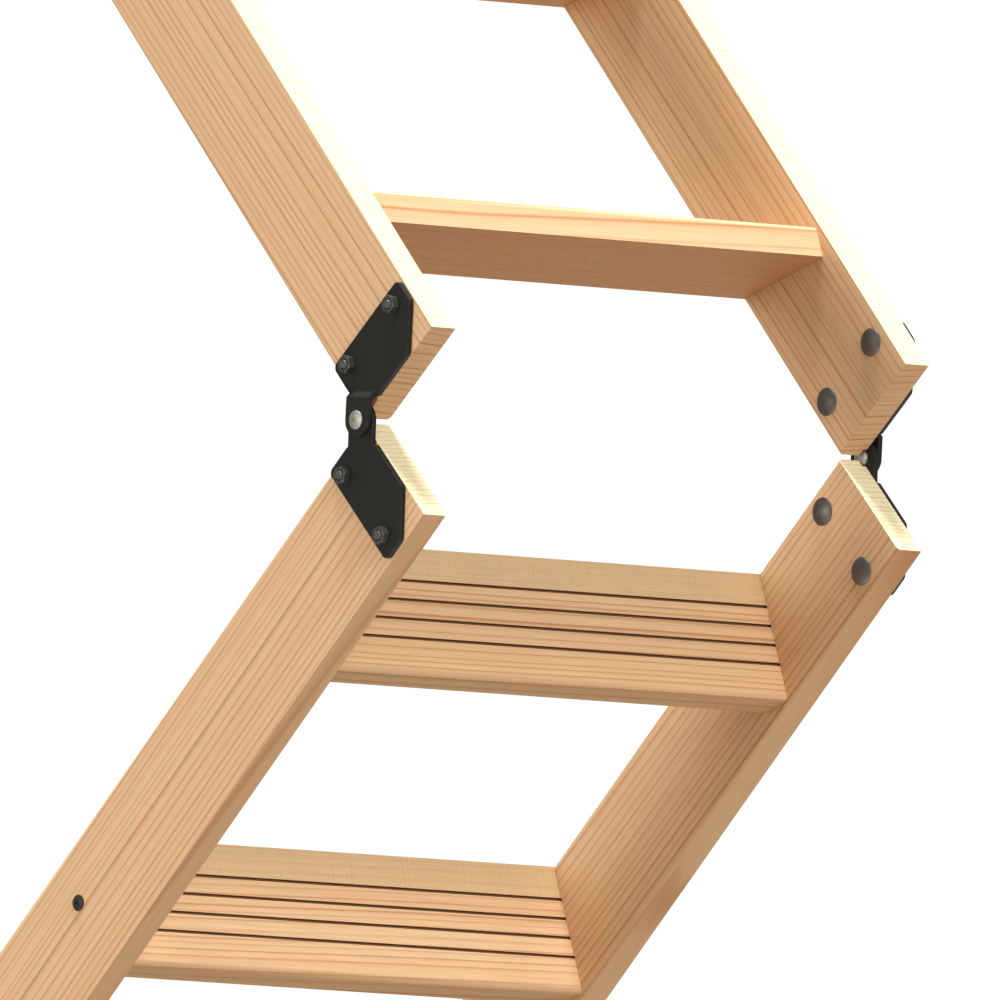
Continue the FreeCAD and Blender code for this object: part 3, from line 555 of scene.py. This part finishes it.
def metal(name):
    """Dark or bright steel with stains, fine scratches and uneven gloss."""
    colour, roughness = FINISHES[name]
    make = Nodes(name)
    place = make.texture_coordinates()
    stain = make.noise(place, *FINISH_NOISE["stain"])
    scratch = make.noise(place, *FINISH_NOISE["scratch"])
    dark = tuple(channel * STAIN_SHARE for channel in colour)
    base = make.mix(make.ramp(stain, STAIN_STOPS), dark, colour)
    make.feed(make.shader.inputs["Base Color"], base)
    make.shader.inputs["Metallic"].default_value = 1.0
    rough = make.math("MULTIPLY_ADD", stain, STAIN_GLOSS, roughness - METAL_GLOSS)
    make.feed(make.shader.inputs["Roughness"],
              make.math("MULTIPLY_ADD", scratch, SCRATCH_GLOSS, rough))
    make.bump(scratch, *METAL_BUMP)
    return make.material


def plastic(name):
    """Moulded plastic with a spark-eroded grain."""
    colour, roughness = FINISHES[name]
    make = Nodes(name)
    place = make.texture_coordinates()
    grain = make.noise(place, *FINISH_NOISE["plastic_grain"])
    cloud = make.noise(place, *FINISH_NOISE["plastic_cloud"])
    make.feed(make.shader.inputs["Base Color"],
              make.mix(cloud, colour, tuple(channel * PLASTIC_GAIN for channel in colour)))
    make.feed(make.shader.inputs["Roughness"],
              make.math("MULTIPLY_ADD", grain, PLASTIC_GLOSS, roughness))
    make.bump(grain, *PLASTIC_BUMP)
    return make.material


# ---------------------------------------------------------------- CAD nodes

EDGE_WIDTHS = {"leaf": 0.0006, "bracket": 0.0005, "foot_cap": 0.0006}
EDGE_SEGMENTS = 3
EDGE_ANGLE = 30               # sharper edges than this are broken
FLAT_ANGLE = 0.5              # faces this near one plane are merged
WELD_REACH = 0.00001
NORMAL_WEIGHT = 80


def dress(name, material):
    """Give a CAD node its material, and break the sharp edges of leaves, brackets and caps."""
    node = nodes[name]
    node.data.materials.clear()
    node.data.materials.append(material)
    for face in node.data.polygons:
        face.use_smooth = True
    widths = [width for word, width in EDGE_WIDTHS.items() if word in name]
    if not widths:
        return
    weld = node.modifiers.new("join", "WELD")
    weld.merge_threshold = WELD_REACH
    merge = node.modifiers.new("merge_flat", "DECIMATE")
    merge.decimate_type = "DISSOLVE"
    merge.angle_limit = math.radians(FLAT_ANGLE)
    bevel = node.modifiers.new("edges", "BEVEL")
    bevel.width = widths[0]
    bevel.segments = EDGE_SEGMENTS
    bevel.limit_method = "ANGLE"
    bevel.angle_limit = math.radians(EDGE_ANGLE)
    bevel.use_clamp_overlap = False
    weighted = node.modifiers.new("flat_faces", "WEIGHTED_NORMAL")
    weighted.mode = "FACE_AREA"
    weighted.weight = NORMAL_WEIGHT
    weighted.keep_sharp = True


# ---------------------------------------------------------------- fasteners

ROUND_SIDES = 56
NUT_SIDES = 72
CREASE = 35                   # edges sharper than this stay sharp in a fastener's shading
NUT_CREASE = 25
SCREW_CREASE = 30
SAME_DIGITS = 6               # corners that agree to the micrometre are one corner

DOME_STEPS = 14
ROLLED_RIM = ((0.35, 0), (0, 0.4), (0, 0.75))   # in from a head's radius and up, in rims
DOME_START = 0.25             # where the dome leaves the rim, in from the radius, in rims

BOLT_RADIUS = 0.003
HEAD_RIM = 0.0006
STEM_START = 0.0002           # just off the flat of the head
STEM_SHARE = 0.55             # where the plain stem ends and the thread starts, as shares of
THREAD_SHARE = 0.6            # the bolt's length
THREAD_PITCH = 0.001
THREAD_DEPTH = 0.0006
THREAD_SHAPE = ((0, 0), (0.12, 0), (0.5, 1), (0.6, 1))   # along, in pitches; inwards, in depths
THREAD_CHAMFER = 0.9          # at the thread's end, in depths
NECK_START = 0.0001
NECK_DEPTH = 0.004

NUT_FLAT = 0.95               # the radius of a nut's flat face, of its half width
NUT_CHAMFER = 30
NUT_LEAD = 0.12               # the countersink of the bore, of its radius
BORE_PLAY = 0.00006

RIVET_RADIUS = 0.004
RIVET_HEAD = 0.0018
RIVET_RIM = 0.0005
HEAD_SLACK = 0.0001           # points this far inside a rivet's joint face count as its head's
TAIL_RADIUS = 0.00525
TAIL_HEIGHT = 0.0022
TAIL_EDGE = ((0.0008, 0.0022), (0.0003, 0.0020), (0, 0.0014))   # in from the side, height
RIVET_DIMPLE = [(0.0018, 0.00168), (0.0014, 0.00145), (0.0006, 0.00135), (0, 0.00135)]

SCREWS = {                    # by the end of a node's name: slot, shank radius, head height
    "tie_screws": ("tie_screw_steel", 0.0025, 0.0022),
    "bracket_screws": ("screw_steel", 0.0025, 0.0025),
    "foot_cap_screws": ("screw_steel", 0.002, 0.002),
}
SCREW_POINT = ((0, 0), (0.35, 1), (1, 3))   # radius, and distance from the tip, in shank radii
SHANK_END = 0.0001            # just short of the flat of the head
RECESS_SHARE = 0.42           # a cross recess's radius, of the head's
RECESS_FLOOR = 0.35           # the height that is left under it, of the head's
RECESS_RIM = (1.0, 0.98)      # rings of the cap over a recess, as shares of its radius
RECESS_PIT = (0.80, 0.5)      # rings down in the recess, the same way
BLADE_POWER = 3               # the higher, the narrower the arms of the cross
PIT_FLARE = 0.35              # how much shallower the recess is at its radius


def islands(name):
    """A CAD node's separate solids, left to right: low corner, high corner and points."""
    mesh = nodes[name].data
    parent = {}

    def root(key):
        while parent[key] != key:
            parent[key] = parent[parent[key]]
            key = parent[key]
        return key

    keys = [tuple(round(value, SAME_DIGITS) for value in vertex.co) for vertex in mesh.vertices]
    for key in keys:
        parent.setdefault(key, key)
    for face in mesh.polygons:
        first = root(keys[face.vertices[0]])
        for vertex in face.vertices[1:]:
            parent[root(keys[vertex])] = first
    groups = {}
    for key in parent:
        groups.setdefault(root(key), []).append(key)
    boxes = []
    for points in groups.values():
        low = Vector([min(point[axis] for point in points) for axis in range(3)])
        high = Vector([max(point[axis] for point in points) for axis in range(3)])
        boxes.append((low, high, points))
    return sorted(boxes, key=lambda item: tuple(item[0]))


def outward_frame(x, y, z, side, spin=0):
    """A frame at a point whose Z points to the given side, along X or against it."""
    turn = Matrix.Rotation(math.radians(90 * side), 4, "Y")
    return Matrix.Translation((x, y, z)) @ turn @ Matrix.Rotation(spin, 4, "Z")


def ring(builder, matrix, segments, radius_and_height):
    """Corners round Z.  radius_and_height gives a corner's place from its angle."""
    corners = []
    for index in range(segments):
        angle = 2 * math.pi * index / segments
        radius, height = radius_and_height(angle)
        corners.append(builder.verts.new(matrix @ Vector((
            radius * math.cos(angle), radius * math.sin(angle), height))))
    return corners


def circle(builder, matrix, segments, radius, height):
    return ring(builder, matrix, segments, lambda angle: (radius, height))


def lathe(builder, matrix, profile):
    """Turn (radius, height) pairs about Z.  An end at radius 0 closes to a point."""
    rings = []
    for radius, height in profile:
        if radius == 0:
            rings.append([builder.verts.new(matrix @ Vector((0, 0, height)))])
        else:
            rings.append(circle(builder, matrix, ROUND_SIDES, radius, height))
    join_rings(builder, rings, ROUND_SIDES)


def join_rings(builder, rings, segments):
    for lower, upper in zip(rings, rings[1:]):
        for index in range(segments):
            following = (index + 1) % segments
            corners = [lower[index % len(lower)], lower[following % len(lower)],
                       upper[following % len(upper)], upper[index % len(upper)]]
            face = []
            for corner in corners:
                if corner not in face:
                    face.append(corner)
            builder.faces.new(face)


def rounded_dome(radius, height, rim):
    """Profile of a domed head standing on z = 0, with a thin rolled rim."""
    sphere = (radius * radius + (height - rim) ** 2) / (2 * (height - rim))
    points = [(radius - rim * inward, rim * upward) for inward, upward in ROLLED_RIM]
    widest = math.asin(min(1.0, (radius - rim * DOME_START) / sphere))
    for step in range(DOME_STEPS):
        angle = widest * (1 - step / DOME_STEPS)
        points.append((sphere * math.sin(angle), height - sphere * (1 - math.cos(angle))))
    points.append((0, height))
    return points


def thread(radius, low, high):
    """Profile of a threaded stretch, with a chamfered end at the top."""
    points = []
    height = low
    while height + THREAD_PITCH < high - THREAD_PITCH * 0.5:
        for along, inward in THREAD_SHAPE:
            points.append((radius - THREAD_DEPTH * inward, height + THREAD_PITCH * along))
        height += THREAD_PITCH
    points += [(radius, height), (radius - THREAD_DEPTH * THREAD_CHAMFER, high), (0, high)]
    return points


def hexagon(builder, matrix, apothem, height_of):
    """A ring round a hexagon whose height depends on the distance from Z."""
    def corner(angle):
        from_flat = (angle + math.pi / 6) % (math.pi / 3) - math.pi / 6
        radius = apothem / math.cos(from_flat)
        return radius, height_of(radius)
    return ring(builder, matrix, NUT_SIDES, corner)


def hex_nut(builder, matrix, apothem, height, bore):
    """A nut on z = 0 whose corners are turned off by a cone at both faces."""
    flat_radius = apothem * NUT_FLAT
    slope = math.tan(math.radians(NUT_CHAMFER))
    lead = bore * NUT_LEAD

    def turned_off(radius):
        return (radius - flat_radius) * slope

    rings = [
        circle(builder, matrix, NUT_SIDES, bore, lead),
        circle(builder, matrix, NUT_SIDES, bore + lead, 0),
        circle(builder, matrix, NUT_SIDES, flat_radius, 0),
        hexagon(builder, matrix, apothem, turned_off),
        hexagon(builder, matrix, apothem, lambda radius: height - turned_off(radius)),
        circle(builder, matrix, NUT_SIDES, flat_radius, height),
        circle(builder, matrix, NUT_SIDES, bore + lead, height),
        circle(builder, matrix, NUT_SIDES, bore, height - lead),
    ]
    join_rings(builder, rings + [rings[0]], NUT_SIDES)


def finish_piece(name, builder, material, body, node, crease=CREASE):
    """Turn a built mesh into a piece that stands for a CAD node."""
    bmesh.ops.recalc_face_normals(builder, faces=builder.faces)
    mesh = bpy.data.meshes.new(name)
    builder.to_mesh(mesh)
    builder.free()
    mesh.materials.append(material)
    for face in mesh.polygons:
        face.use_smooth = True
    mesh.set_sharp_from_angle(angle=math.radians(crease))
    piece = bpy.data.objects.new(name, mesh)
    bpy.context.scene.collection.objects.link(piece)
    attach(piece, body)
    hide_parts(node)


def body_of(node):
    return next(body for body, members in bodies.items() if node in members)


def fastener_axes(node):
    """Each solid's centre, its inner and outer ends along X, its side, and its points."""
    for low, high, points in islands(node):
        side = 1 if low.x + high.x > 0 else -1
        inner, outer = (low.x, high.x) if side > 0 else (high.x, low.x)
        yield (low + high) / 2, inner, outer, side, points


def reach_along_y(centre, points):
    """The radius of a round piece: how far its points lie from its centre along Y."""
    return max(abs(point[1] - centre.y) for point in points)


def stringer_inner_face(side):
    return side * (-LEFT_FACE - STRINGER_THICKNESS)


def detail_bolts(node, material):
    """Carriage bolts: the domed head is inside, and the thread ends outside its nut."""
    builder = bmesh.new()
    for centre, inner, outer, side, points in fastener_axes(node):
        face = stringer_inner_face(side)
        head = rounded_dome(reach_along_y(centre, points), abs(inner - face), HEAD_RIM)
        inward = outward_frame(face, centre.y, centre.z, -side)
        lathe(builder, inward, [(0, 0), *head])
        length = abs(outer - face)
        outward = outward_frame(face, centre.y, centre.z, side)
        stem = [(0, STEM_START), (BOLT_RADIUS, STEM_START), (BOLT_RADIUS, length * STEM_SHARE)]
        lathe(builder, outward, stem + thread(BOLT_RADIUS, length * THREAD_SHARE, length))
        square_neck(builder, outward)
    finish_piece(f"{node}_detail", builder, material, body_of(node), node)


def square_neck(builder, matrix):
    """The bolt's square neck, sunk in the wood under the head."""
    size = BOLT_RADIUS
    corners = [(-size, -size), (size, -size), (size, size), (-size, size)]
    levels = [[builder.verts.new(matrix @ Vector((x, y, level))) for x, y in corners]
              for level in (NECK_START, NECK_DEPTH)]
    join_rings(builder, levels, len(corners))
    for level in levels:
        builder.faces.new(level)


def detail_nuts(node, material):
    """Hex nuts, with a flat where the CAD's nuts have a corner."""
    builder = bmesh.new()
    for centre, inner, outer, side, points in fastener_axes(node):
        away = [Vector((0, point[1] - centre.y, point[2] - centre.z)) for point in points]
        corner = max(away, key=lambda vector: vector.length)
        apothem = corner.length * math.cos(math.pi / 6)
        local = outward_frame(inner, centre.y, centre.z, side).to_3x3().inverted() @ corner
        spin = math.atan2(local.y, local.x)
        matrix = outward_frame(inner, centre.y, centre.z, side, spin)
        hex_nut(builder, matrix, apothem, abs(outer - inner), BOLT_RADIUS + BORE_PLAY)
    finish_piece(f"{node}_detail", builder, material, body_of(node), node,
                 NUT_CREASE)


def detail_rivet(node, material):
    """A rivet whose head is rolled over the outer leaf and whose tail is set inside."""
    builder = bmesh.new()
    for centre, inner, outer, side, points in fastener_axes(node):
        joint_face = abs(outer) - RIVET_HEAD
        head_points = [point for point in points if abs(point[0]) > joint_face - HEAD_SLACK]
        head_radius = reach_along_y(centre, head_points)
        matrix = outward_frame(side * joint_face, centre.y, centre.z, side)
        grip = joint_face - abs(inner) - TAIL_HEIGHT
        tail = [(TAIL_RADIUS - inset, -grip - height) for inset, height in TAIL_EDGE]
        stem = [(TAIL_RADIUS, -grip), (RIVET_RADIUS, -grip), (RIVET_RADIUS, 0)]
        dome = rounded_dome(head_radius, RIVET_HEAD, RIVET_RIM)
        lathe(builder, matrix,
              [(0, -grip - TAIL_HEIGHT), *tail, *stem, *dome[:-2], *RIVET_DIMPLE])
    finish_piece(f"{node}_detail", builder, material, body_of(node), node)


def detail_screws(node, material, slot, shank_radius, head_height):
    """Pan-head screws with a cross recess."""
    builder = bmesh.new()
    for centre, inner, outer, side, points in fastener_axes(node):
        face = abs(outer) - head_height
        head_radius = reach_along_y(centre, points)
        matrix = outward_frame(side * face, centre.y, centre.z, side)
        length = face - abs(inner)
        tip = [(shank_radius * radius, -length + shank_radius * height)
               for radius, height in SCREW_POINT]
        dome = [point for point in rounded_dome(head_radius, head_height, HEAD_RIM)
                if point[0] > head_radius * RECESS_SHARE]
        lathe(builder, matrix, [*tip, (shank_radius, -SHANK_END), *dome])
        recess_radius, top = dome[-1]
        cross_recess(builder, matrix, recess_radius, top, head_height * RECESS_FLOOR)
    finish_piece(f"{node}_detail", builder, material, body_of(node), node, SCREW_CREASE)


def cross_recess(builder, matrix, radius, top, floor):
    """Close a head's open top with a cap that has a cross-shaped pit."""
    def pit(share):
        def corner(angle):
            blade = abs(math.cos(2 * angle)) ** BLADE_POWER
            return radius * share, top - (top - floor) * blade * (1 - share * PIT_FLARE)
        return ring(builder, matrix, ROUND_SIDES, corner)

    rings = [circle(builder, matrix, ROUND_SIDES, radius * share, top) for share in RECESS_RIM]
    rings += [pit(share) for share in RECESS_PIT]
    rings.append([builder.verts.new(matrix @ Vector((0, 0, floor)))])
    join_rings(builder, rings, ROUND_SIDES)


# ---------------------------------------------------------------- the ladder

def dress_hardware():
    leaf = coated("black_powder_coat", LEAF_SCUFF)
    bracket = coated("bracket_powder_coat")
    bolt = metal("phosphated_bolts")
    nut = metal("phosphated_nuts")
    rivet = metal("rivet_steel")
    zinc = metal("zinc_screws")
    dark = coated("black_screws")
    cap = plastic("cap_plastic")
    for name in sorted(nodes):
        if name.endswith("leaf"):
            dress(name, leaf)
        elif name.endswith("_bolts"):
            detail_bolts(name, bolt)
        elif name.endswith("_nuts"):
            detail_nuts(name, nut)
        elif name.endswith("_rivet"):
            detail_rivet(name, rivet)
        elif name.endswith("tie_screws"):
            detail_screws(name, dark, *SCREWS["tie_screws"])
        elif name in SCREWS:
            detail_screws(name, zinc, *SCREWS[name])
        elif name.startswith("bracket"):
            dress(name, bracket)
        elif name.startswith("foot_cap"):
            dress(name, cap)


add_camera()
add_floor()
add_suns()
add_world()
paint_wood()
dress_hardware()
